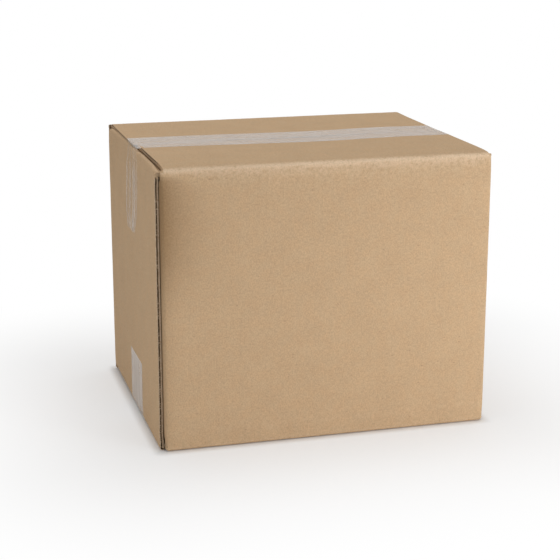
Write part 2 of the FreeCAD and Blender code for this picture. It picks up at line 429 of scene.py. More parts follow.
@dataclass(frozen=True)
class PackingFilm:
    """Clear packing film with a milky adhesive, drawn out in fine lengthwise streaks."""

    colour: Colour = (0.860, 0.835, 0.810)
    roughness: float = 0.34
    roughness_wander: float = 0.10
    specular: float = 0.30
    refraction: float = 1.49
    streaks: Grain = Grain(0.30, 3.0, 0.55)
    streak_stretch: Triple = (0.012, 1.0, 1.0)
    streak_haze: float = 0.6
    streak_height: float = 0.014
    patches: Grain = Grain(0.10, 3.0, 0.5)
    patch_stretch: Triple = (0.35, 1.0, 1.0)
    patch_haze: float = 0.5
    patch_height: float = 0.012

    def build(self) -> bpy.types.Material:
        """Make the material, whose attribute "haze" is how milky each face of the film is.

        Returns:
            The material.
        """
        material, graph = new_material("packing_film")
        strip = graph.scaled(graph.node("ShaderNodeUVMap", {"uv_map": "strip"}), (1 / MM, 1 / MM, 1.0))
        streaks = graph.grain(graph.scaled(strip, self.streak_stretch), self.streaks)
        patches = graph.grain(graph.scaled(strip, self.patch_stretch), self.patches)
        haze = graph.node("ShaderNodeAttribute", {"attribute_name": "haze"}, {}, "Fac")
        uneven = 1.0 + (streaks - NOISE_MEAN) * self.streak_haze + (patches - NOISE_MEAN) * self.patch_haze
        height = streaks * self.streak_height + patches * self.patch_height
        bump = graph.node("ShaderNodeBump", {}, {"Height": height, "Distance": MM}, "Normal")
        surface = graph.node(
            "ShaderNodeBsdfPrincipled",
            {},
            {
                "Base Color": (*self.colour, 1.0),
                "Roughness": self.roughness + (patches - NOISE_MEAN) * self.roughness_wander,
                "IOR": self.refraction,
                "Specular IOR Level": self.specular,
                "Alpha": haze * uneven,
                "Normal": bump,
            },
        )
        graph.node("ShaderNodeOutputMaterial", {}, {"Surface": surface}, None)
        return material


@dataclass(frozen=True)
class PaleSweep:
    """Matt white studio floor, which is seen as plain white away from the carton's shadow, in metres."""

    colour: Colour = (0.93, 0.93, 0.93)
    roughness: float = 0.9
    specular: float = 0.1
    footprint: Pair = (0.130, 0.1045)
    lightened: float = 0.45
    contact: float = 0.008
    white_from: float = 0.22

    def build(self) -> bpy.types.Material:
        """Make the material.

        Returns:
            The material.
        """
        material, graph = new_material("pale_sweep")
        surface = graph.node(
            "ShaderNodeBsdfPrincipled",
            {},
            {
                "Base Color": (*self.colour, 1.0),
                "Roughness": self.roughness,
                "Specular IOR Level": self.specular,
            },
        )
        away = graph.vector("ABSOLUTE", graph.node("ShaderNodeTexCoord", {}, {}, "Object"))
        away = graph.vector("MAXIMUM", graph.vector("SUBTRACT", away, (*self.footprint, 1.0)))
        reach = graph.node("ShaderNodeVectorMath", {"operation": "LENGTH"}, {0: away}, "Value")
        white = graph.node("ShaderNodeEmission", {}, {"Color": (1.0, 1.0, 1.0, 1.0), "Strength": 1.0})
        share = self.lightened * graph.ramp(reach, 0.0, self.contact)
        share = share + (1.0 - self.lightened) * graph.ramp(reach, 0.0, self.white_from)
        mixed = graph.node("ShaderNodeMixShader", {}, {0: share * graph.seen(), 1: surface, 2: white})
        graph.node("ShaderNodeOutputMaterial", {}, {"Surface": mixed}, None)
        return material


def smooth(value: float, low: float, high: float) -> float:
    """Rise smoothly from 0 to 1 while the value goes from low to high."""
    share = min(1.0, max(0.0, (value - low) / (high - low)))
    return share * share * (3.0 - 2.0 * share)


@dataclass(frozen=True)
class Ripple:
    """Smooth unevenness: its height, the size of its features and the layer of noise that it is cut from."""

    height: float
    size: float
    layer: float

    def at(self, x: float, y: float, shift: float = 0.0) -> float:
        """Height at a place, with the layer shifted so that like panels differ."""
        return self.height * 2.0 * noise.noise(Vector((x / self.size, y / self.size, self.layer + shift)))


@dataclass(frozen=True)
class Ridge:
    """A rounded ridge, or a furrow where its height is negative: its height, middle and reach."""

    height: float
    middle: float
    reach: float

    def at(self, place: float) -> float:
        """Height at a place across the ridge."""
        return self.height * math.exp(-(((place - self.middle) / self.reach) ** 2))


class Strip(Enum):
    """What a strip of the blank carries, from its bottom edge to its top edge."""

    TAB = "glue tab"
    CORNER = "corner between two flaps"
    OUTER = "wall with outer flaps"
    INNER = "wall with inner flaps"


class Part(Enum):
    """Stretch of the blank that a level lies in."""

    WALL = "upright wall"
    BAND = "between the inner and the outer fold lines"
    FOLD = "outer fold"
    FLAP = "flap"


@dataclass(frozen=True)
class Station:
    """One place round the girth of the carton, and the strip that starts there."""

    x: float
    y: float
    normal: Pair
    along: float
    strip: Strip


@dataclass(frozen=True)
class Level:
    """One line across the blank, the same round the whole girth."""

    part: Part
    share: float
    top: bool


@dataclass(frozen=True)
class BoardSizes:
    """Sizes of the board and of the blank cut from it."""

    length: float
    width: float
    bottom: float
    top: float
    board: float = 3.0
    flap_gap: float = 0.6
    seam_gap: float = 1.0
    slot_width: float = 5.0
    slot_root: float = 0.7
    worn_root: float = 1.5
    shut_root: float = 0.2
    post_lean: float = 0.1
    shoulder: float = 5.0
    shoulder_rise: float = 0.35
    joint_setback: float = 5.2
    tab_width: float = 35.0
    tab_slant: float = 10.0
    tab_shortfall: float = 2.8
    glue_line: float = 0.05

    @classmethod
    def from_frame(cls) -> "BoardSizes":
        """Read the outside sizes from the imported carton.

        Returns:
            The sizes, in millimetres.
        """
        low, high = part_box("carton")
        size = [(b - a) / MM for a, b in zip(low, high)]
        return cls(length=size[0], width=size[1], bottom=low[2] / MM, top=high[2] / MM)

    @property
    def half_length(self) -> float:
        """Half the outside length."""
        return self.length / 2

    @property
    def half_width(self) -> float:
        """Half the outside width."""
        return self.width / 2

    @property
    def radius(self) -> float:
        """Outside radius of every fold."""
        return self.board

    @property
    def flap_drop(self) -> float:
        """From an outer flap's face to the inner flap's face."""
        return self.board + self.flap_gap

    @property
    def slot_step(self) -> float:
        """From the end of a flat panel to its flap's edge."""
        return self.slot_width / 2 - math.pi / 4 * self.radius

    @property
    def flap_edge(self) -> float:
        """Side edge of an outer flap, from the middle of the carton."""
        return self.half_length - self.radius - self.slot_step

    @property
    def inner_flap_edge(self) -> float:
        """Side edge of an inner flap, from the middle of the carton."""
        return self.half_width - self.radius - self.slot_step

    @property
    def joint_y(self) -> float:
        """Cut edge of the left end at the glued joint."""
        return self.joint_setback - self.half_width

    def from_end(self, z: float) -> float:
        """Height above the bottom or below the top, whichever is less."""
        return min(z - self.bottom, self.top - z)


@dataclass(frozen=True)
class BoardLie:
    """How the real board strays from its plain folds: heights, reaches and fades."""

    bulge: Ripple = Ripple(0.45, 95.0, 3.0)
    bulge_shift: Pair = (7.0, 11.0)
    bulge_from_end: Pair = (2.0, 40.0)
    bulge_from_side: Pair = (0.0, 26.0)
    crush: Ridge = Ridge(-0.30, 4.0, 6.0)
    swell: Ridge = Ridge(0.16, 16.0, 7.0)
    skin: Ripple = Ripple(0.04, 9.0, 8.0)
    corner_wave: Ripple = Ripple(0.06, 17.0, 5.0)
    fold_fine: Ripple = Ripple(0.05, 9.0, 2.0)
    fold_broad: Ripple = Ripple(0.05, 28.0, 6.0)
    fold_sunk: float = 0.1
    bottom_wave: Ripple = Ripple(0.2, 60.0, 4.0)
    bottom_sunk: float = 0.25
    bow: float = 1.3
    bow_reach: float = 38.0
    bow_power: float = 1.5
    bow_low: float = 0.25
    bow_rise: Pair = (70.0, 190.0)
    bow_from_end: Pair = (3.0, 40.0)
    groove: float = 0.6
    groove_clear: float = 1.0
    groove_fade: Pair = (1.0, 13.0)
    groove_least_turn: float = 0.01
    bead: Ridge = Ridge(0.5, -0.8, 1.25)
    raised_bead: Ridge = Ridge(1.5, -0.8, 1.25)
    raised_more: Ridge = Ridge(1.0, -0.8, 1.25)
    raised_more_from: Pair = (22.0, 38.0)
    raised_from_corner: Pair = (3.0, 12.0)
    sway: float = 1.6
    sway_right: float = 0.4
    sway_reach: float = 100.0
    sway_rise: Pair = (62.0, 7.0)
    sway_middle: float = -8.0
    sway_half: float = 62.0
    sway_from_corner: float = 2.0
    lift: float = 0.6
    lift_at_seam: float = 0.1
    lift_right: float = 0.3
    lift_steep: Pair = (2.5, 13.0)
    lift_from_seam: Pair = (3.0, 27.0)
    lift_left_from: Pair = (40.0, 128.0)
    lift_right_from: Pair = (60.0, 128.0)
    back_left: float = 0.35
    back_right: float = 0.25
    sag: float = 0.7
    sag_half: float = 90.0
    sag_from_fold: Pair = (3.0, 30.0)
    top_wave: Ripple = Ripple(0.14, 60.0, 9.0)


@dataclass(frozen=True)
class WearAndPaintedLight:
    """How pale the liner is on worn folds that carry a painted highlight, and how much shade is painted
    beside the joint, as shares of the finish's two colours for these.
    """

    patches: Ripple = Ripple(0.25, 14.0, 1.0)
    patch_level: float = 0.8
    crest: Ridge = Ridge(1.0, 0.25, 0.60)
    crest_patches: Ripple = Ripple(0.12, 14.0, 1.0)
    crest_level: float = 0.9
    # Pale crests of the folds: real rubbing plus a painted highlight.
    top_fold: float = 0.95
    bottom_fold: float = 0.3
    corner_fold: float = 0.12
    inner_fold: float = 0.5
    inner_fold_fade: float = 0.2
    inner_band_from: Pair = (0.5, 1.0)
    # Painted highlight on the front and back just below their top and bottom folds.
    painted_highlight_top: float = 0.85
    painted_highlight_bottom: float = 0.15
    painted_highlight_reach: float = 6.0
    upright_fold: float = 0.32
    upper_radii: float = 4.0
    faces_out: float = 0.5
    # Painted shade on the front beside the joint.
    painted_shade_high: float = 1.2
    painted_shade_high_reach: float = 17.0
    painted_shade_low: float = 0.4
    painted_shade_low_reach: float = 6.0
    painted_shade_rise: Pair = (95.0, 175.0)
    painted_shade_below_top: Pair = (2.0, 9.0)
    painted_shade_margin: float = 1.0


@dataclass(frozen=True)
class Flutes:
    """Open flutes at the cut edges: their place behind the face, height, depth and where they open."""

    liner: float = 0.75
    flap_liner: float = 0.45
    height: float = 1.2
    depth: float = 2.0
    flap_depth: float = 3.5
    shut_depth: float = 0.03
    shut_height: float = 0.4
    flat_from: float = 0.5
    fleck_from: float = 0.5
    fleck_depth: float = 0.45
    ragged: Ripple = Ripple(0.25, 7.0, 12.0)
    ragged_level: float = 0.85
    part_open: float = 0.35
    post_open: float = 0.9
    joint_below_top: Pair = (7.0, 10.5)
    joint_top_margin: float = 1.5
    joint_near: float = 0.5
    edge_near: float = 0.05
    flap_from: Pair = (16.0, 24.0)
    flap_to: Pair = (-88.0, -70.0)


@dataclass
class MeshData:
    """Vertices and faces of a piece while it is built, in millimetres."""

    points: list[Vector] = field(default_factory=list)
    uvs: list[Pair] = field(default_factory=list)
    weights: list[float] = field(default_factory=list)
    faces: list[tuple[int, ...]] = field(default_factory=list)
    slots: list[int] = field(default_factory=list)

    def add(self, point: Vector, uv: Pair, weight: float = 0.0) -> int:
        """Add a vertex.

        Args:
            point: Its place.
            uv: Its place on the flat sheet.
            weight: Value of the piece's own attribute there.

        Returns:
            Its number.
        """
        self.points.append(point)
        self.uvs.append(uv)
        self.weights.append(weight)
        return len(self.points) - 1

    def face(self, corners: tuple[int, ...], slot: int = 0) -> None:
        """Add a face with a material slot."""
        self.faces.append(corners)
        self.slots.append(slot)

    def finish(
        self, name: str, uv_name: str, weight_name: str, materials: Sequence[bpy.types.Material], sharp: float
    ) -> bpy.types.Object:
        """Turn the lists into an object at the origin.

        Args:
            name: Name of the piece.
            uv_name: Name of its UV map.
            weight_name: Name of the point attribute that holds the weights.
            materials: One material for each slot.
            sharp: Edges that turn by more than this many degrees stay sharp.

        Returns:
            The finished object.
        """
        mesh = bpy.data.meshes.new(name)
        mesh.from_pydata([p * MM for p in self.points], [], self.faces)
        layer = mesh.uv_layers.new(name=uv_name)
        for loop in mesh.loops:
            u, v = self.uvs[loop.vertex_index]
            layer.data[loop.index].uv = (u * MM, v * MM)
        mesh.attributes.new(weight_name, "FLOAT", "POINT").data.foreach_set("value", self.weights)
        mesh.polygons.foreach_set("material_index", self.slots)
        for material in materials:
            mesh.materials.append(material)
        mesh.shade_smooth()
        mesh.set_sharp_from_angle(angle=math.radians(sharp))
        mesh.update()
        piece = bpy.data.objects.new(name, mesh)
        bpy.context.scene.collection.objects.link(piece)
        return piece


@dataclass
class Girth:
    """Places round the girth of the carton, added stretch by stretch."""

    radius: float
    panel_step: float
    fold_cells: int
    found: list[Station] = field(default_factory=list)

    def _along(self, start: Sequence[float]) -> float:
        """Distance round the girth at the start of the next stretch."""
        last = self.found[-1] if self.found else None
        return last.along + math.dist((last.x, last.y), start) if last else 0.0

    def run(self, start: Sequence[float], end: Sequence[float], normal: Pair, strip: Strip) -> None:
        """Add a straight stretch without its end.

        Args:
            start: Where it starts.
            end: Where the next stretch takes over.
            normal: Its outward direction.
            strip: What it carries.
        """
        length = math.dist(start, end)
        count = max(1, round(length / self.panel_step))
        first = self._along(start)
        for k in range(count):
            x, y = (a + (b - a) * k / count for a, b in zip(start, end))
            self.found.append(Station(x, y, normal, first + length * k / count, strip))

    def turn(self, centre: Sequence[float], begin: float) -> None:
        """Add an upright fold without its end.

        Args:
            centre: Centre of its quarter circle.
            begin: Angle at which it starts.
        """
        start = (centre[0] + self.radius * math.cos(begin), centre[1] + self.radius * math.sin(begin))
        first = self._along(start)
        for k in range(self.fold_cells):
            share = QUARTER * k / self.fold_cells
            way = (math.cos(begin + share), math.sin(begin + share))
            place = (centre[0] + self.radius * way[0], centre[1] + self.radius * way[1])
            along = first + self.radius * QUARTER * k / self.fold_cells
            self.found.append(Station(*place, way, along, Strip.CORNER))


@dataclass
class Carton:
    """The folded blank: four panels, eight flaps and the glue tab, as one sheet with its thickness."""

    sizes: BoardSizes
    lie: BoardLie = BoardLie()
    wear_and_painted_light: WearAndPaintedLight = WearAndPaintedLight()
    flutes: Flutes = Flutes()
    panel_step: float = 5.0
    fold_cells: int = 7
    sharp: float = 35.0
    stations: list[Station] = field(default_factory=list)
    levels: list[Level] = field(default_factory=list)
    mesh: MeshData = field(default_factory=MeshData)
    keys: dict[tuple[int, int, Strip | None], int] = field(default_factory=dict)
    frames: dict[int, tuple[Vector, Vector]] = field(default_factory=dict)
    slits: dict[int, Vector] = field(default_factory=dict)
    torn: list[tuple[Vector, Vector]] = field(default_factory=list)

    def _go_round(self) -> list[Station]:
        """Lay out the girth.

        Returns:
            Places from the glue tab's free edge to the cut edge of the left end.
        """
        s = self.sizes
        joint_x = -s.half_length + s.board + s.glue_line
        front_left = joint_x + s.radius + s.slot_step
        r, hl, hw = s.radius, s.half_length, s.half_width
        left, front, right, back = (-1.0, 0.0), (0.0, -1.0), (1.0, 0.0), (0.0, 1.0)
        girth = Girth(r, self.panel_step, self.fold_cells)
        girth.run((joint_x, -hw + s.tab_width), (joint_x, -hw + r), left, Strip.TAB)
        girth.turn((joint_x + r, -hw + r), math.pi)
        girth.run((joint_x + r, -hw), (front_left, -hw), front, Strip.CORNER)
        girth.run((front_left, -hw), (s.flap_edge, -hw), front, Strip.OUTER)
        girth.run((s.flap_edge, -hw), (hl - r, -hw), front, Strip.CORNER)
        girth.turn((hl - r, -hw + r), 3 * QUARTER)
        girth.run((hl, -hw + r), (hl, -s.inner_flap_edge), right, Strip.CORNER)
        girth.run((hl, -s.inner_flap_edge), (hl, s.inner_flap_edge), right, Strip.INNER)
        girth.run((hl, s.inner_flap_edge), (hl, hw - r), right, Strip.CORNER)
        girth.turn((hl - r, hw - r), 0.0)
        girth.run((hl - r, hw), (s.flap_edge, hw), back, Strip.CORNER)
        girth.run((s.flap_edge, hw), (-s.flap_edge, hw), back, Strip.OUTER)
        girth.run((-s.flap_edge, hw), (-hl + r, hw), back, Strip.CORNER)
        girth.turn((-hl + r, hw - r), QUARTER)
        girth.run((-hl, hw - r), (-hl, s.inner_flap_edge), left, Strip.CORNER)
        girth.run((-hl, s.inner_flap_edge), (-hl, s.joint_y), left, Strip.INNER)
        last = girth.found[-1]
        end = Station(-hl, s.joint_y, left, last.along + last.y - s.joint_y, Strip.INNER)
        return [*girth.found, end]

    def _go_up(self) -> list[Level]:
        """Lay out the levels.

        Returns:
            Lines across the blank, from the bottom flaps' free edges to the top flaps' free edges.
        """
        s = self.sizes
        foot = s.bottom + s.flap_drop + s.radius
        head = s.top - s.flap_drop - s.radius
        inner_foot = foot + s.tab_shortfall
        inner_head = head - s.tab_shortfall
        count = round((inner_head - inner_foot) / self.panel_step)
        between = [inner_foot + (inner_head - inner_foot) * k / count for k in range(count + 1)]
        heights = [foot, *between, head]
        cells = {Part.BAND: self.fold_cells, Part.FOLD: self.fold_cells}
        cells[Part.FLAP] = round(s.half_width / self.panel_step)
        upper = [Level(part, (k + 1) / n, True) for part, n in cells.items() for k in range(n)]
        lower = [Level(level.part, level.share, False) for level in reversed(upper)]
        return lower + [Level(Part.WALL, z, True) for z in heights] + upper

    def profile(self, station: Station, strip: Strip, level: Level) -> Triple:
        """Where a level lies on a strip.

        Args:
            station: Place round the girth.
            strip: What the strip carries.
            level: The line across the blank.

        Returns:
            Distance inwards from the wall's face, depth behind the closure's face, and the tilt of
            the sheet's normal, from 0 on the wall to a quarter turn on a flap.
        """
        s = self.sizes
        angle = level.share * QUARTER
        if strip is Strip.INNER:
            return self._inner_profile(station, level)
        if level.part is Part.BAND:
            return 0.0, s.radius + s.flap_drop * (1 - level.share), 0.0
        if strip is Strip.CORNER:
            if level.top and station.x < 0.0 < station.y:
                return s.post_lean * level.share, s.radius - (s.radius - s.slot_root) * level.share, 0.0
            worn = s.slot_root + (s.worn_root - s.slot_root) * abs(station.normal[0])
            root = worn if level.top else s.shut_root
            angle = level.share * math.asin(1.0 - root / s.radius)
        if level.part is Part.FOLD:
            return s.radius * (1 - math.cos(angle)), s.radius * (1 - math.sin(angle)), angle
        flap_end = s.half_width - s.seam_gap / 2
        return s.radius + (flap_end - s.radius) * level.share, 0.0, QUARTER

    def _inner_profile(self, station: Station, level: Level) -> Triple:
        """Where a level lies on a strip with inner flaps.

        Args:
            station: Place round the girth.
            level: The line across the blank.

        Returns:
            What profile returns.
        """
        s = self.sizes
        drop = self._inner_drop(station, level)
        if level.part is Part.BAND:
            angle = level.share * QUARTER
            return s.radius * (1 - math.cos(angle)), drop + s.radius * (1 - math.sin(angle)), angle
        reach = s.shoulder * level.share
        if level.part is Part.FLAP:
            flap_end = (s.width - s.seam_gap) / 2
            reach = s.shoulder + (flap_end - s.radius - s.shoulder) * level.share
        return s.radius + reach, drop, QUARTER

    def _inner_drop(self, station: Station, level: Level) -> float:
        """Depth of an inner flap, which the bottom left one loses at its fold towards the joint.

        Args:
            station: Place round the girth.
            level: The line across the blank.

        Returns:
            Depth behind the closure's face.
        """
        s = self.sizes
        if level.top or station.x > 0.0 or level.part is Part.FLAP:
            return s.flap_drop
        near = (s.inner_flap_edge - station.y) / (s.inner_flap_edge - s.joint_y)
        hidden = smooth(level.share, 0.0, s.shoulder_rise) if level.part is Part.FOLD else 0.0
        return s.flap_drop - (s.flap_drop - s.shut_root) * near * (1.0 - hidden)

    def place(self, station: Station, strip: Strip, level: Level) -> tuple[Vector, Vector, Pair]:
        """Point of the outer liner.

        Args:
            station: Place round the girth.
            strip: Strip that the point belongs to.
            level: Line across the blank.

        Returns:
            The point, the sheet's outward normal and the place on the flat blank.
        """
        s = self.sizes
        nx, ny = station.normal
        if level.part is Part.WALL:
            z = self._on_slant(station, level.share) if strip is Strip.TAB else level.share
            return Vector((station.x, station.y, z)), Vector((nx, ny, 0.0)), (station.along, z)
        inward, depth, tilt = self.profile(station, strip, level)
        face, up = (s.top, 1.0) if level.top else (s.bottom, -1.0)
        point = Vector((station.x - nx * inward, station.y - ny * inward, face - up * depth))
        normal = Vector((nx * math.cos(tilt), ny * math.cos(tilt), up * math.sin(tilt)))
        return point, normal, (station.along, face + up * (inward - depth))

    def _on_slant(self, station: Station, z: float) -> float:
        """Height of a level on the glue tab, whose ends slant towards its free edge.

        Args:
            station: Place round the girth.
            z: Height of the level on the walls.

        Returns:
            Height on the tab.
        """
        s = self.sizes
        middle = (s.top + s.bottom) / 2
        half = (s.top - s.bottom) / 2 - s.flap_drop - s.radius - s.tab_shortfall
        share = (station.y + s.half_width - s.radius) / (s.tab_width - s.radius)
        return middle + (z - middle) * (1 - s.tab_slant * max(0.0, share) / half)

    def relief(self, point: Vector, normal: Vector, strip: Strip, level: Level) -> float:
        """How far the real board stands out from its true plane, along its normal.

        Args:
            point: Place on the true plane.
            normal: The sheet's outward normal there.
            strip: Strip that the point belongs to.
            level: Line across the blank.

        Returns:
            The distance.
        """
        lie = self.lie
        across = point.x if abs(normal.y) > abs(normal.x) else point.y
        if level.part is Part.WALL or (level.part is Part.BAND and strip is not Strip.INNER):
            return self._wall_relief(point, normal, strip, across)
        if level.part in (Part.BAND, Part.FOLD):
            inner = strip is Strip.INNER
            rise = self._inner_bead(point, level) if inner else self._joint_groove(point, normal)
            uneven = lie.fold_fine.at(across, point.z) + lie.fold_broad.at(across, point.z)
            return uneven - lie.fold_sunk + rise
        if strip is Strip.INNER:
            return 0.0
        if not level.top:
            return -lie.bottom_sunk - lie.bottom_wave.at(point.x, point.y)
        return self._top_relief(point)

    def _wall_relief(self, point: Vector, normal: Vector, strip: Strip, across: float) -> float:
        """Relief of an upright wall: bulged panels, crushed ends, and the dent beside the joint.

        Args:
            point: Place on the true plane.
            normal: The wall's outward normal.
            strip: Strip that the point belongs to.
            across: Place along the panel.

        Returns:
            The distance along the normal.
        """
        s, lie = self.sizes, self.lie
        edge = s.from_end(point.z)
        crush = lie.crush.at(edge)
        bowed = self._front_bow(point, normal, edge) + self._joint_groove(point, normal)
        if strip in (Strip.CORNER, Strip.TAB):
            return lie.corner_wave.at(point.z, across) + crush + bowed
        shift = normal.x * lie.bulge_shift[0] + normal.y * lie.bulge_shift[1]
        lengthwise = abs(normal.y) > abs(normal.x)
        side = s.half_length - abs(point.x) if lengthwise else s.half_width - abs(point.y)
        fade = smooth(edge, *lie.bulge_from_end) * smooth(side, *lie.bulge_from_side)
        wave = lie.bulge.at(across, point.z, shift) * fade
        return wave + crush + lie.swell.at(edge) + bowed + lie.skin.at(across, point.z)

    def _front_bow(self, point: Vector, normal: Vector, edge: float) -> float:
        """Front panel pushed back beside the joint, most of all near its top.

        Args:
            point: Place on the true plane.
            normal: The sheet's outward normal there.
            edge: Distance from the wall's nearer end.

        Returns:
            The distance along the normal.
        """
        s, lie = self.sizes, self.lie
        near = max(0.0, 1.0 - (point.x + s.half_length - s.radius) / lie.bow_reach) ** lie.bow_power
        high = lie.bow_low + (1.0 - lie.bow_low) * smooth(point.z, *lie.bow_rise)
        return -lie.bow * near * high * smooth(edge, *lie.bow_from_end) * max(0.0, -normal.y)

    def _joint_groove(self, point: Vector, normal: Vector) -> float:
        """Fold of the glue tab drawn in behind the cut edge of the left end, which leaves a dark gap.

        Args:
            point: Place on the true plane.
            normal: The sheet's outward normal there.

        Returns:
            The distance along the normal.
        """
        s, lie = self.sizes, self.lie
        outside = point.x < -s.half_length + lie.groove_clear
        if point.y > 0.0 or outside or normal.x > -lie.groove_least_turn:
            return 0.0
        start, end = (s.joint_y + reach for reach in lie.groove_fade)
        return lie.groove * normal.x * (1.0 - smooth(point.y, start, end))

    def _inner_bead(self, point: Vector, level: Level) -> float:
        """Ridge raised where an inner flap is folded hard over, highest under the sprung front flap.

        Args:
            point: Place on the true plane.
            level: Line across the blank.

        Returns:
            The distance along the normal.
        """
        s, lie = self.sizes, self.lie
        past = s.shoulder * level.share if level.part is Part.FOLD else s.radius * (level.share - 1.0)
        if not level.top or point.x > 0.0:
            return lie.bead.at(past)
        tall = lie.raised_bead.at(past)
        tall += lie.raised_more.at(past) * smooth(-point.y, *lie.raised_more_from)
        return tall * smooth(s.half_width - abs(point.y), *lie.raised_from_corner)

    def _sway(self, point: Vector, strip: Strip) -> Vector:
        """Level shift of an end panel's top, which the closed inner flap pulls in with it.

        Args:
            point: Place on the true plane.
            strip: Strip that the point belongs to.

        Returns:
            The shift.
        """
        s, lie = self.sizes, self.lie
        if strip is not Strip.INNER or abs(point.x) < s.half_length - s.radius - lie.sway_reach:
            return Vector()
        side, amount = (-1.0, lie.sway) if point.x < 0.0 else (1.0, lie.sway_right * lie.sway)
        high = smooth(point.z, s.top - lie.sway_rise[0], s.top - lie.sway_rise[1])
        away = abs(point.y - lie.sway_middle)
        middle = 1.0 - smooth(away, lie.sway_half, s.half_width - s.radius - lie.sway_from_corner)
        return Vector((-side * amount * high * middle, 0.0, 0.0))

    def _top_relief(self, point: Vector) -> float:
        """Lie of the two top flaps: sprung up at the front left, seated at the back.

        Args:
            point: Place on the true plane.

        Returns:
            Height above it.
        """
        s, lie = self.sizes, self.lie
        from_fold = s.half_width - abs(point.y)
        fold = smooth(from_fold, *lie.sag_from_fold)
        left = smooth(-point.x, *lie.lift_left_from)
        right = smooth(point.x, *lie.lift_right_from)
        sag = -lie.sag * (1.0 - smooth(abs(point.x), 0.0, lie.sag_half)) * fold
        if point.y < 0.0:
            seam = smooth(abs(point.y), *lie.lift_from_seam)
            sprung = lie.lift * left * (lie.lift_at_seam + (1.0 - lie.lift_at_seam) * seam)
            spring = (sprung + lie.lift_right * right * seam) * smooth(from_fold, *lie.lift_steep)
        else:
            spring = (-lie.back_left * left - lie.back_right * right) * fold
        return spring + sag + lie.top_wave.at(point.x, point.y) * fold

    def toned(self, point: Vector, normal: Vector, strip: Strip, level: Level) -> float:
        """Tone of the liner: folds worn pale with a painted highlight, and painted shade beside the joint.

        Args:
            point: Place on the true plane.
            normal: The sheet's outward normal there.
            strip: Strip that the point belongs to.
            level: Line across the blank.

        Returns:
            Up to 1 on worn pale folds and where a highlight is painted, and below 0 where shade is painted.
        """
        s, wear_and_painted_light = self.sizes, self.wear_and_painted_light
        patchy = wear_and_painted_light.patch_level + wear_and_painted_light.patches.at(point.x + point.y, point.z)
        upper = point.z > s.bottom + s.radius * wear_and_painted_light.upper_radii
        if level.part is Part.FLAP:
            return 0.0
        # Inner flaps' fold crest: painted highlight with some rubbing.
        if strip is Strip.INNER and level.part is Part.FOLD:
            return wear_and_painted_light.inner_fold * math.exp(-level.share / wear_and_painted_light.inner_fold_fade) * patchy
        if strip is Strip.INNER and level.part is Part.BAND:
            return wear_and_painted_light.inner_fold * smooth(level.share, *wear_and_painted_light.inner_band_from) * patchy
        # Outer folds: rubbing plus a painted highlight on the crest.
        if level.part is Part.FOLD:
            outer = wear_and_painted_light.top_fold if upper else wear_and_painted_light.bottom_fold
            worn = {Strip.OUTER: outer, Strip.CORNER: wear_and_painted_light.corner_fold, Strip.TAB: 0.0}[strip]
            patchy = wear_and_painted_light.crest_level + wear_and_painted_light.crest_patches.at(point.x, point.z)
            return worn * wear_and_painted_light.crest.at(level.share) * patchy
        # Painted highlight just below the top and bottom folds of the front and back.
        painted_highlight = 0.0
        if abs(normal.y) > wear_and_painted_light.faces_out:
            past = s.from_end(point.z) - s.radius
            painted_highlight = (wear_and_painted_light.painted_highlight_top if upper else wear_and_painted_light.painted_highlight_bottom) * math.exp(-past / wear_and_painted_light.painted_highlight_reach)
        # Upright corner folds: rubbing plus a painted highlight.
        upright = wear_and_painted_light.upright_fold * abs(normal.x * normal.y)
        # Painted shade beside the joint is taken off the tone.
        return (painted_highlight + upright) * patchy - self._painted_shade_at(point)

    def _painted_shade_at(self, point: Vector) -> float:
        """How much shade is painted on the front panel's strip beside the upper half of the joint.

        Args:
            point: Place on the true plane.

        Returns:
            0 where no shade is painted.
        """
        s, wear_and_painted_light = self.sizes, self.wear_and_painted_light
        if point.y > -s.half_width + s.radius + wear_and_painted_light.painted_shade_margin:
            return 0.0
        out = point.x + s.half_length - s.radius
        high = smooth(point.z, *wear_and_painted_light.painted_shade_rise)
        dark = wear_and_painted_light.painted_shade_high * math.exp(-out / wear_and_painted_light.painted_shade_high_reach) * high
        dark += wear_and_painted_light.painted_shade_low * math.exp(-out / wear_and_painted_light.painted_shade_low_reach) * (1.0 - high)
        return dark * smooth(s.top - point.z, *wear_and_painted_light.painted_shade_below_top)

    def vertex(self, i: int, j: int, strip: Strip) -> int:
        """Outer vertex at a station and level, added when first asked for.

        Args:
            i: Number of the station.
            j: Number of the level.
            strip: Strip that asks for it, which has its own vertex where the blank is slit.

        Returns:
            The vertex's number.
        """
        level = self.levels[j]
        apart = strip is Strip.INNER and level.part is not Part.WALL
        apart = apart or (strip is Strip.CORNER and level.part is Part.FOLD)
        key = (i, j, strip if apart else None)
        if key not in self.keys:
            point, normal, uv = self.place(self.stations[i], strip, level)
            moved = point + normal * self.relief(point, normal, strip, level) + self._sway(point, strip)
            moved.z = max(moved.z, self.sizes.bottom)
            self.keys[key] = self.mesh.add(moved, uv, self.toned(point, normal, strip, level))
            self.frames[self.keys[key]] = (moved, normal)
        return self.keys[key]

    def covered(self, strip: Strip, low: Level, high: Level) -> bool:
        """Whether the blank has board on a strip between two neighbouring levels.

        Args:
            strip: What the strip carries.
            low: The lower level.
            high: The upper level.

        Returns:
            True where there is board.
        """
        if strip in (Strip.OUTER, Strip.INNER):
            return True
        if strip is Strip.CORNER:
            return all(level.part is not Part.FLAP for level in (low, high))
        return all(level.part is Part.WALL and self._within_tab(level.share) for level in (low, high))

    def _within_tab(self, z: float) -> bool:
        """Whether a height lies between the ends of the glue tab's root."""
        s = self.sizes
        return s.from_end(z) > s.flap_drop + s.radius + s.tab_shortfall / 2

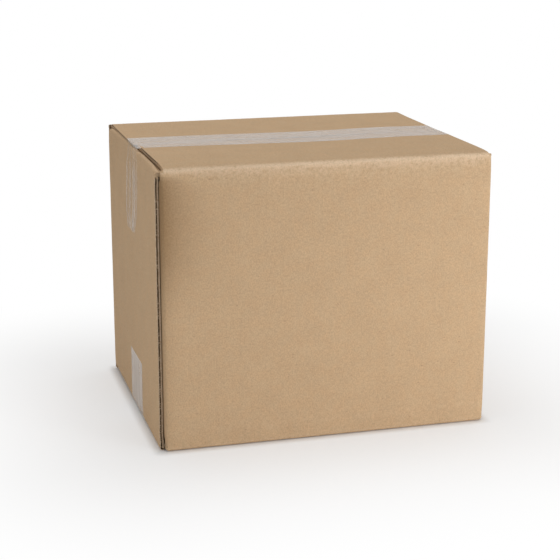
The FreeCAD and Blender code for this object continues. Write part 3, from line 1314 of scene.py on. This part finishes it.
    def build(self, liner: bpy.types.Material, cut: bpy.types.Material) -> bpy.types.Object:
        """Fold the blank and give it its thickness.

        Args:
            liner: Finish of both faces of the board.
            cut: Finish of its cut edges.

        Returns:
            The carton's object.
        """
        self.stations = self._go_round()
        self.levels = self._go_up()
        outer: list[tuple[int, ...]] = []
        for i, station in enumerate(self.stations[:-1]):
            for j, (low, high) in enumerate(zip(self.levels, self.levels[1:])):
                if self.covered(station.strip, low, high):
                    corners = ((i, j), (i + 1, j), (i + 1, j + 1), (i, j + 1))
                    outer.append(tuple(self.vertex(a, b, station.strip) for a, b in corners))
        inner = {
            number: self.mesh.add(point - normal * self.sizes.board, self.mesh.uvs[number])
            for number, (point, normal) in self.frames.items()
        }
        for quad in outer:
            self.mesh.face(quad)
            self.mesh.face(tuple(inner[number] for number in reversed(quad)))
        self._close_edges(outer)
        return self.mesh.finish("carton_board", "blank", "tone", (liner, cut), self.sharp)

    def _close_edges(self, outer: Sequence[tuple[int, ...]]) -> None:
        """Close the cut edges between the two liners, with an open flute between them.

        Args:
            outer: Faces of the outer liner.
        """
        sides = {side for quad in outer for side in zip(quad, quad[1:] + quad[:1])}
        free = [side for quad in outer for side in zip(quad, quad[1:] + quad[:1]) if side[::-1] not in sides]
        rows = {number: self._edge_row(number, way) for number, way in self._inward_ways(free).items()}
        for a, b in free:
            for k in range(len(rows[a]) - 1):
                self.mesh.face((rows[b][k], rows[a][k], rows[a][k + 1], rows[b][k + 1]), 1)
            if a in self.slits and b in self.slits:
                self.torn.append((self.slits[a], self.slits[b]))

    def _edge_row(self, number: int, way: Vector) -> list[int]:
        """Section of a cut edge at one vertex, from face to face by way of the flute.

        Args:
            number: The outer vertex.
            way: Direction into the sheet.

        Returns:
            The section's vertices.
        """
        s, flutes = self.sizes, self.flutes
        point, normal = self.frames[number]
        uv = self.mesh.uvs[number]
        flat = abs(normal.z) > flutes.flat_from
        openness = self._openness(point)
        liner = flutes.flap_liner if flat else flutes.liner
        depth = (flutes.flap_depth if flat else flutes.depth) * openness + flutes.shut_depth
        under = liner + flutes.height * (flutes.shut_height + (1.0 - flutes.shut_height) * openness)
        shut = SHUT_TONE * (1.0 - min(1.0, openness / flutes.fleck_from))
        # Tone that paints shade far inside the open flute, darkest where it is most open.
        painted_flute_shade = SHUT_TONE + (1.0 - SHUT_TONE) * openness
        section = (
            (0.0, 0.0, shut),
            (liner, 0.0, shut),
            (liner, depth, painted_flute_shade),
            (under, depth, painted_flute_shade),
            (under, 0.0, shut),
            (s.board, 0.0, shut),
        )
        if openness > flutes.fleck_from and not flat:
            self.slits[number] = point - normal * (liner + under) * 0.5 + way * flutes.fleck_depth
        return [self.mesh.add(point - normal * down + way * into, uv, tone) for down, into, tone in section]

    def _inward_ways(self, free: Sequence[tuple[int, int]]) -> dict[int, Vector]:
        """Direction into the sheet at each vertex of a cut edge.

        Args:
            free: Sides of faces that lie on the cut edges.

        Returns:
            The direction for each vertex.
        """
        ways: dict[int, Vector] = {}
        for a, b in free:
            run = (self.frames[b][0] - self.frames[a][0]).normalized()
            for number in (a, b):
                way = self.frames[number][1].cross(run)
                ways[number] = ways.get(number, Vector()) + way
        return {number: way.normalized() for number, way in ways.items()}

    def _openness(self, point: Vector) -> float:
        """How open the flute is at a cut edge: crushed shut beside the folds, ragged elsewhere.

        Args:
            point: Place on the edge.

        Returns:
            0 where shut, about 1 where open.
        """
        s, flutes = self.sizes, self.flutes
        ragged = flutes.ragged_level + flutes.ragged.at(point.y, point.z)
        if s.radius < point.z < s.top - s.radius - flutes.joint_top_margin:
            return smooth(s.top - point.z, *flutes.joint_below_top) * ragged
        if abs(point.x) > s.flap_edge + flutes.edge_near:
            return self._post_openness(point, ragged)
        if point.z < s.radius or point.y > 0.0:
            return flutes.part_open * ragged
        return smooth(-point.y, *flutes.flap_from) * smooth(point.y, *flutes.flap_to) * ragged

    def _post_openness(self, point: Vector, ragged: float) -> float:
        """How open the flute is on the short edges at the upright corners.

        Args:
            point: Place on the edge.
            ragged: Openness of an open edge there.

        Returns:
            0 where shut, about 1 where open.
        """
        s, flutes = self.sizes, self.flutes
        if point.x > 0.0:
            return 0.0
        if point.z < s.radius:
            return ragged if abs(point.y - s.joint_y) < flutes.joint_near else 0.0
        if point.y < -s.inner_flap_edge:
            return flutes.part_open
        return flutes.post_open if point.y > s.inner_flap_edge else 0.0


@dataclass(frozen=True)
class TornFlecks:
    """Crumbs of torn paper along the open flutes, placed by Geometry Nodes."""

    pitch: float = 1.9
    size: float = 0.62
    seed: int = 7
    shape: Triple = (0.5, 1.0, 1.6)
    most_turn: Triple = (0.7, 0.7, 3.1)
    least_share: float = 0.15

    def build(self, slits: Sequence[tuple[Vector, Vector]], cut: bpy.types.Material) -> bpy.types.Object:
        """Scatter the crumbs.

        Args:
            slits: Stretches of the flutes' middle line, in millimetres.
            cut: Finish of the cut edges.

        Returns:
            The crumbs as one plain mesh.
        """
        wire = bpy.data.meshes.new("slits")
        points = [point * MM for stretch in slits for point in stretch]
        wire.from_pydata(points, [(2 * k, 2 * k + 1) for k in range(len(slits))], [])
        holder = bpy.data.objects.new("slits", wire)
        bpy.context.scene.collection.objects.link(holder)
        modifier = holder.modifiers.new("flecks", "NODES")
        modifier.node_group = self._tree(cut)
        values = {"Pitch": self.pitch * MM, "Size": self.size * MM, "Seed": self.seed}
        for item in modifier.node_group.interface.items_tree:
            if item.name in values:
                modifier[item.identifier] = values[item.name]
        evaluated = holder.evaluated_get(bpy.context.evaluated_depsgraph_get())
        mesh = bpy.data.meshes.new_from_object(evaluated)
        mesh.name = "edge_flecks"
        holder.modifiers.remove(modifier)
        bpy.data.objects.remove(holder)
        piece = bpy.data.objects.new("edge_flecks", mesh)
        bpy.context.scene.collection.objects.link(piece)
        return piece

    def _tree(self, cut: bpy.types.Material) -> bpy.types.NodeTree:
        """Build the tree that resamples the slits and puts one crumb on each point.

        Args:
            cut: Finish of the crumbs.

        Returns:
            The node tree.
        """
        tree = bpy.data.node_groups.new("torn_flecks", "GeometryNodeTree")
        kinds = {"Geometry": "Geometry", "Pitch": "Float", "Size": "Float", "Seed": "Int"}
        for name, kind in kinds.items():
            tree.interface.new_socket(name, in_out="INPUT", socket_type=f"NodeSocket{kind}")
        tree.interface.new_socket("Geometry", in_out="OUTPUT", socket_type="NodeSocketGeometry")
        graph = Graph(tree)
        slits, pitch, size, seed = (graph.node("NodeGroupInput", {}, {}, name) for name in kinds)
        joined = graph.node("GeometryNodeMergeByDistance", {}, {"Geometry": slits})
        line = graph.node("GeometryNodeMeshToCurve", {}, {"Mesh": joined})
        line = graph.node("GeometryNodeResampleCurve", {"mode": "LENGTH"}, {"Curve": line, "Length": pitch})
        crumb = graph.node("GeometryNodeMeshIcoSphere", {}, {"Radius": 1.0, "Subdivisions": 1})
        crumb = graph.node("GeometryNodeTransform", {}, {"Geometry": crumb, "Scale": self.shape})
        limits = {0: (0.0, 0.0, 0.0), 1: self.most_turn, "Seed": seed}
        turn = graph.node("FunctionNodeRandomValue", {"data_type": "FLOAT_VECTOR"}, limits, 0)
        limits = {2: self.least_share, 3: 1.0, "Seed": seed + 1.0}
        share = graph.node("FunctionNodeRandomValue", {"data_type": "FLOAT"}, limits, 1)
        inputs = {"Points": line, "Instance": crumb, "Rotation": turn, "Scale": share * share * size}
        flecks = graph.node("GeometryNodeInstanceOnPoints", {}, inputs)
        flecks = graph.node("GeometryNodeRealizeInstances", {}, {"Geometry": flecks})
        flecks = graph.node("GeometryNodeSetMaterial", {}, {"Geometry": flecks, "Material": cut})
        graph.node("NodeGroupOutput", {}, {"Geometry": flecks}, None)
        return tree


@dataclass(frozen=True)
class TailRow:
    """One row of a tail's outline: its depth below the closure's face, middle along Y and width."""

    depth: float
    middle: float
    width: float


@dataclass(frozen=True)
class Tail:
    """Outline of one end of a tape, as rows from the edge downwards."""

    rows: tuple[TailRow, ...]

    @classmethod
    def straight(cls, middle: float, length: float, width: float = 48.0) -> "Tail":
        """Tail with parallel sides."""
        return cls((TailRow(TAIL_START, middle, width), TailRow(length, middle, width)))

    @property
    def length(self) -> float:
        """Depth of its end."""
        return self.rows[-1].depth

    def span(self, depth: float) -> Pair:
        """Edges at a depth.

        Args:
            depth: Depth below the closure's face.

        Returns:
            Low and high edge along Y.
        """
        above, below = next(
            (pair for pair in zip(self.rows, self.rows[1:]) if depth <= pair[1].depth), self.rows[-2:]
        )
        share = min(1.0, max(0.0, (depth - above.depth) / (below.depth - above.depth)))
        middle = above.middle + (below.middle - above.middle) * share
        width = above.width + (below.width - above.width) * share
        return middle - width / 2, middle + width / 2


@dataclass(frozen=True)
class Gathering:
    """Lengthwise creases of a gathered tail, each by its place across the tail, width and height."""

    creases: tuple[Triple, ...] = (
        (0.05, 0.025, 0.6),
        (0.22, 0.060, 0.9),
        (0.37, 0.050, 1.0),
        (0.62, 0.035, 0.8),
        (0.72, 0.030, 0.6),
        (0.94, 0.035, 1.0),
    )
    wander: Ripple = Ripple(0.02, 34.0, 5.0)
    wander_spread: float = 50.0
    tall: float = 0.85
    flat_end: float = 10.0
    low: float = 0.4
    low_from: Pair = (12.0, 60.0)
    haze: float = 0.04
    haze_upper: float = 0.06
    haze_upper_from: Pair = (8.0, 24.0)
    # Milkier lower down: partly milky film, partly a painted reflection.
    haze_and_reflection_lower: float = 0.05
    haze_and_reflection_lower_from: Pair = (45.0, 66.0)
    haze_between: float = 0.25
    # Extra milkiness on a crease: partly unstuck film, partly a painted highlight on the ridge.
    haze_and_highlight_on_crease: float = 1.8

    def crease(self, depth: float, share: float) -> float:
        """Shape of the creases.

        Args:
            depth: Depth below the closure's face.
            share: Place across the tail, from 0 to 1.

        Returns:
            0 between creases and up to 1 on one.
        """
        total = 0.0
        for middle, narrow, height in self.creases:
            place = share - middle - self.wander.at(depth, middle * self.wander_spread)
            total += height * math.exp(-((place / narrow) ** 2))
        return min(1.0, total)

    def rise(self, depth: float, share: float, length: float) -> float:
        """Height of the creases above the board.

        Args:
            depth: Depth below the closure's face.
            share: Place across the tail, from 0 to 1.
            length: Depth of the tail's end.

        Returns:
            The height.
        """
        lower = self.low + (1.0 - self.low) * (1 - smooth(depth, *self.low_from))
        return self.tall * smooth(length - depth, 0.0, self.flat_end) * lower * self.crease(depth, share)

    def milkiness(self, depth: float, share: float) -> float:
        """How milky the film is, more so on a crease and towards its end, which partly paints highlights on
        the creases and a reflection on the tail's lower part.

        Args:
            depth: Depth below the closure's face.
            share: Place across the tail, from 0 to 1.

        Returns:
            Opacity of one face of the film.
        """
        level = self.haze + self.haze_upper * smooth(depth, *self.haze_upper_from)
        level += self.haze_and_reflection_lower * smooth(depth, *self.haze_and_reflection_lower_from)
        return level * (self.haze_between + self.haze_and_highlight_on_crease * self.crease(depth, share))


@dataclass
class Tape:
    """A length of tape over one closure, with a tail on each end panel."""

    node: str
    sizes: BoardSizes
    top: bool
    left: Tail
    right: Tail
    left_middle: float
    right_middle: float
    gathering: Gathering | None = None
    width: float = 48.0
    thickness: float = 0.07
    clearance: float = 0.02
    columns: int = 40
    strip_step: float = 3.0
    tail_step: float = 1.25
    bridge_cells: int = 4
    bend_cells: int = 3
    milky: float = 0.28
    milky_rim: float = 0.05
    rim_width: float = 1.5
    blisters: Ripple = Ripple(0.05, 11.0, 3.3)
    drawn_lines: Ripple = Ripple(0.03, 2.2, 6.0)
    drawn_stretch: float = 0.05
    tooth_pitch: float = 2.6
    tooth_height: float = 1.4
    tooth_reach: float = 4.0
    probe: float = 6.0
    deepest: float = 1.8
    deepest_margin: float = 0.6
    sharp: float = 50.0

    @classmethod
    def over_top(cls, sizes: BoardSizes) -> "Tape":
        """Tape of the top seam, whose left tail is gathered in creases.

        Args:
            sizes: Sizes of the carton.

        Returns:
            The tape.
        """
        gathered = Tail(
            (
                TailRow(TAIL_START, -3.0, 28.0),
                TailRow(8.0, -3.5, 39.0),
                TailRow(18.0, -2.5, 45.0),
                TailRow(53.0, -0.5, 46.5),
                TailRow(69.0, 3.5, 27.0),
            )
        )
        right = Tail.straight(middle=1.6, length=60.0)
        middles = {"left_middle": 5.7, "right_middle": 1.6}
        return cls("tape_top", sizes, True, gathered, right, **middles, gathering=Gathering(), columns=64)

    @classmethod
    def under_bottom(cls, sizes: BoardSizes) -> "Tape":
        """Tape of the bottom seam, with two plain tails.

        Args:
            sizes: Sizes of the carton.

        Returns:
            The tape.
        """
        middle = -7.0
        left = Tail.straight(middle, length=47.0)
        right = Tail.straight(middle, length=45.0)
        # Milkier than the top tape: partly milky film, partly a painted reflection that brightens its tails
        # on the end walls.
        return cls("tape_bottom", sizes, False, left, right, middle, middle, milky=0.33)

    def path(self) -> list[tuple[float, float, float, float]]:
        """Lay out the tape's middle line, from the end of the left tail to the end of the right one.

        Returns:
            For each place its X, depth, lean of its normal and distance along the tape.
        """
        right = self._half_path(self.right)
        left = [(-x, depth, math.pi - lean) for x, depth, lean in self._half_path(self.left)]
        whole = left[:0:-1] + right
        places = []
        along = 0.0
        for k, (x, depth, lean) in enumerate(whole):
            if k:
                along += math.dist(whole[k - 1][:2], (x, depth))
            places.append((x, depth, lean, along))
        return places

    def _half_path(self, tail: Tail) -> list[Triple]:
        """Lay out one half of the middle line, from the middle of the carton down a tail.

        Args:
            tail: The tail that ends it.

        Returns:
            For each place its distance from the middle, depth and lean of its normal.
        """
        s = self.sizes
        centre_x, centre_depth = s.half_length - s.radius, s.flap_drop + s.radius
        run = math.hypot(centre_x - s.flap_edge, centre_depth)
        lean = math.atan2(centre_depth, s.flap_edge - centre_x) - math.acos(s.radius / run)
        count = round(s.flap_edge / self.strip_step)
        half = [(s.flap_edge * k / count, 0.0, QUARTER) for k in range(count + 1)]
        x, depth = centre_x + s.radius * math.cos(lean), centre_depth - s.radius * math.sin(lean)
        for k in range(1, self.bridge_cells + 1):
            share = k / self.bridge_cells
            tilt = lean + (QUARTER - lean) * (1 - share) / 2
            half.append((s.flap_edge + (x - s.flap_edge) * share, depth * share, tilt))
        for k in range(1, self.bend_cells + 1):
            tilt = lean * (1 - k / self.bend_cells)
            place = (centre_x + s.radius * math.cos(tilt), centre_depth - s.radius * math.sin(tilt))
            half.append((*place, tilt))
        drop = tail.length - centre_depth
        down = round(drop / self.tail_step)
        return half + [(s.half_length, centre_depth + drop * k / down, 0.0) for k in range(1, down + 1)]

    def span(self, x: float, depth: float) -> Pair:
        """Edges of the tape at a place of its path.

        Args:
            x: Place along X.
            depth: Depth below the closure's face.

        Returns:
            Low and high edge along Y.
        """
        if depth > 0.0:
            return self._tail(x).span(depth)
        share = (x + self.sizes.flap_edge) / (2 * self.sizes.flap_edge)
        middle = self.left_middle + (self.right_middle - self.left_middle) * share
        return middle - self.width / 2, middle + self.width / 2

    def _tail(self, x: float) -> Tail:
        """The tail on the given side."""
        return self.left if x < 0.0 else self.right

    def _gathered(self, x: float, depth: float) -> bool:
        """Whether a place lies on a gathered tail."""
        return self.gathering is not None and depth > 0.0 and x <= 0.0

    def wrinkle(self, x: float, depth: float, share: float) -> float:
        """Height of the film above the board.

        Args:
            x: Place along X.
            depth: Depth below the closure's face.
            share: Place across the tape, from 0 to 1.

        Returns:
            The height.
        """
        rise = max(0.0, self.blisters.at(x, share * self.width))
        if self._gathered(x, depth):
            return rise + self.gathering.rise(depth, share, self.left.length)
        return rise + max(0.0, self.drawn_lines.at(x * self.drawn_stretch, share * self.width))

    def haze(self, x: float, depth: float, share: float) -> float:
        """How milky the film is, which on the gathered tail partly paints highlights and a reflection.

        Args:
            x: Place along X.
            depth: Depth below the closure's face.
            share: Place across the tape, from 0 to 1.

        Returns:
            Opacity of one face of the film.
        """
        rim = self.milky_rim * math.exp(-min(share, 1.0 - share) * self.width / self.rim_width)
        gathered = self._gathered(x, depth)
        return rim + (self.gathering.milkiness(depth, share) if gathered else self.milky)

    def build(self, film: bpy.types.Material, board: BVHTree) -> bpy.types.Object:
        """Lay the tape on the folded board.

        Args:
            film: Finish of the tape.
            board: The carton's surface, in metres.

        Returns:
            The tape's object.
        """
        data = MeshData()
        s = self.sizes
        face, up = (s.top, 1.0) if self.top else (s.bottom, -1.0)
        grid: list[list[tuple[int, int]]] = []
        for x, depth, lean, along in self.path():
            low, high = self.span(x, depth)
            normal = Vector((math.cos(lean), 0.0, up * math.sin(lean)))
            settled = 1.0 if depth <= 0.0 else min(1.0, depth / (s.flap_drop + s.radius)) ** 2
            row = []
            for k in range(self.columns + 1):
                share = k / self.columns
                base = Vector((x, low + (high - low) * share, face - up * depth))
                base.z += up * self._tooth(x, depth, share)
                height = self._board_height(board, base, normal, settled) + self.clearance
                under = base + normal * (height + self.wrinkle(x, depth, share))
                under.z = under.z if self.top else max(under.z, self.thickness)
                uv = (along, share * self.width)
                haze = self.haze(x, depth, share)
                over = data.add(under + normal * self.thickness, uv, haze)
                row.append((over, data.add(under, uv, haze)))
            grid.append(row)
        self._skin(data, grid)
        return data.finish(f"{self.node}_film", "strip", "haze", (film,), self.sharp)

    def _tooth(self, x: float, depth: float, share: float) -> float:
        """Zigzag left by the cutter at the end of a tail.

        Args:
            x: Place along X.
            depth: Depth below the closure's face.
            share: Place across the tape, from 0 to 1.

        Returns:
            How far the edge is cut back.
        """
        if depth <= 0.0:
            return 0.0
        length = self._tail(x).length
        near = smooth(depth, length - self.tooth_reach, length)
        place = share * self.width / self.tooth_pitch
        return near * abs(place - math.floor(place) - 0.5) * self.tooth_height

    def _board_height(self, board: BVHTree, base: Vector, normal: Vector, settled: float) -> float:
        """How far the board stands out from the tape's plain path.

        Args:
            board: The carton's surface, in metres.
            base: Place on the plain path.
            normal: The tape's outward normal there.
            settled: How far the tape follows a board that lies deeper, from 0 to 1.

        Returns:
            The distance, which is negative where the board lies deeper.
        """
        hit, _, _, distance = board.ray_cast((base + normal * self.probe) * MM, -normal, 2 * self.probe * MM)
        if hit is None:
            return 0.0
        height = self.probe - distance / MM
        return max(height, -self.deepest * settled) if height > -self.deepest - self.deepest_margin else 0.0

    @staticmethod
    def _skin(data: MeshData, grid: Sequence[Sequence[tuple[int, int]]]) -> None:
        """Close both faces and the rim of the tape.

        Args:
            data: The mesh under construction.
            grid: Outer and under vertex at each place of the tape.
        """
        rows, columns = len(grid) - 1, len(grid[0]) - 1
        for i in range(rows):
            for j in range(columns):
                ring = (grid[i][j], grid[i + 1][j], grid[i + 1][j + 1], grid[i][j + 1])
                data.face(tuple(pair[0] for pair in ring))
                data.face(tuple(pair[1] for pair in reversed(ring)))
        rim = [(i, 0) for i in range(rows)] + [(rows, j) for j in range(columns)]
        rim += [(i, columns) for i in range(rows, 0, -1)] + [(0, j) for j in range(columns, 0, -1)]
        for (a, b), (c, d) in zip(rim, rim[1:] + rim[:1]):
            data.face((grid[c][d][0], grid[a][b][0], grid[a][b][1], grid[c][d][1]))


@dataclass(frozen=True)
class Lamp:
    """A square soft lamp: its place and size in metres and its power in watts."""

    name: str
    place: Triple
    size: float
    power: float


@dataclass(frozen=True)
class Studio:
    """Pale floor, soft lamps and the surrounding light, in metres."""

    floor_half: float = 12.0
    ambient: float = 0.45
    aim: Triple = (0.0, 0.0, 0.108)
    lamps: tuple[Lamp, ...] = (
        Lamp("key", (0.40, -0.62, 0.07), 0.3, 2.75),
        Lamp("top", (0.05, 0.10, 1.40), 1.0, 6.9),
        Lamp("fill", (-0.55, -0.25, 0.06), 0.3, 0.42),
    )

    def build(self) -> None:
        """Make the floor, the lamps and the world."""
        mesh = bpy.data.meshes.new("floor")
        h = self.floor_half
        mesh.from_pydata([(-h, -h, 0.0), (h, -h, 0.0), (h, h, 0.0), (-h, h, 0.0)], [], [(0, 1, 2, 3)])
        mesh.materials.append(PaleSweep().build())
        floor = bpy.data.objects.new("floor", mesh)
        bpy.context.scene.collection.objects.link(floor)
        for lamp in self.lamps:
            self._light(lamp)
        self._surround()

    def _light(self, lamp: Lamp) -> None:
        """Add a lamp that faces the middle of the carton and isn't seen itself.

        Args:
            lamp: The lamp.
        """
        data = bpy.data.lights.new(lamp.name, "AREA")
        data.size = lamp.size
        data.energy = lamp.power
        light = bpy.data.objects.new(lamp.name, data)
        light.location = lamp.place
        way = Vector(self.aim) - Vector(lamp.place)
        light.rotation_euler = way.to_track_quat("-Z", "Y").to_euler()
        light.visible_camera = False
        bpy.context.scene.collection.objects.link(light)

    def _surround(self) -> None:
        """Even light from all round, which the camera sees as plain white."""
        world = bpy.data.worlds.new("surround")
        world.use_nodes = True
        world.node_tree.nodes.clear()
        graph = Graph(world.node_tree)
        strength = self.ambient + graph.seen() * (1.0 - self.ambient)
        light = graph.node("ShaderNodeBackground", {}, {"Color": (1.0, 1.0, 1.0, 1.0), "Strength": strength})
        graph.node("ShaderNodeOutputWorld", {}, {"Surface": light}, None)
        bpy.context.scene.world = world


@dataclass(frozen=True)
class Viewpoint:
    """Camera that looks at the carton from the photograph's angle, with no shift."""

    azimuth: float = -15.523
    elevation: float = 15.217
    roll: float = 0.026
    sideways: float = -8.06
    upwards: float = 94.37
    distance: float = 1249.5
    focal_pixels: float = 1490.7
    frame_pixels: float = 560.0
    sensor: float = 36.0
    farthest: float = 100.0

    def build(self) -> None:
        """Make the camera and set it."""
        a, e, r = (math.radians(v) for v in (self.azimuth, self.elevation, self.roll))
        back = Vector((math.sin(a) * math.cos(e), -math.cos(a) * math.cos(e), math.sin(e)))
        right = Vector((math.cos(a), math.sin(a), 0.0))
        up = back.cross(right)
        right, up = right * math.cos(r) + up * math.sin(r), up * math.cos(r) - right * math.sin(r)
        data = bpy.data.cameras.new("view")
        data.sensor_width = self.sensor
        data.lens = self.focal_pixels * self.sensor / self.frame_pixels
        data.clip_end = self.farthest
        camera = bpy.data.objects.new("view", data)
        place = (right * self.sideways + up * self.upwards + back * self.distance) * MM
        turn = Matrix((right, up, back)).transposed()
        camera.matrix_world = Matrix.Translation(place) @ turn.to_4x4()
        bpy.context.scene.collection.objects.link(camera)
        bpy.context.scene.camera = camera


def report(piece: bpy.types.Object) -> None:
    """Log the size of a finished piece."""
    LOG.info("%s: %d faces", piece.name, len(piece.data.polygons))


def main() -> None:
    """Build the pieces in order and report each one."""
    logging.basicConfig(level=logging.INFO, format="%(name)s: %(message)s")
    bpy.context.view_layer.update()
    bpy.context.scene.view_settings.view_transform = "Standard"
    Viewpoint().build()
    Studio().build()
    sizes = BoardSizes.from_frame()
    carton = Carton(sizes)
    cut = CutPaper().build()
    board = carton.build(KraftLiner().build(), cut)
    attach(board, BODY)
    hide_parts("carton")
    report(board)
    flecks = TornFlecks().build(carton.torn, cut)
    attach(flecks, BODY)
    report(flecks)
    faces = [polygon.vertices for polygon in board.data.polygons]
    surface = BVHTree.FromPolygons([vertex.co for vertex in board.data.vertices], faces)
    film = PackingFilm().build()
    for tape in (Tape.over_top(sizes), Tape.under_bottom(sizes)):
        piece = tape.build(film, surface)
        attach(piece, BODY)
        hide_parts(tape.node)
        report(piece)


if __name__ == "__main__":
    main()
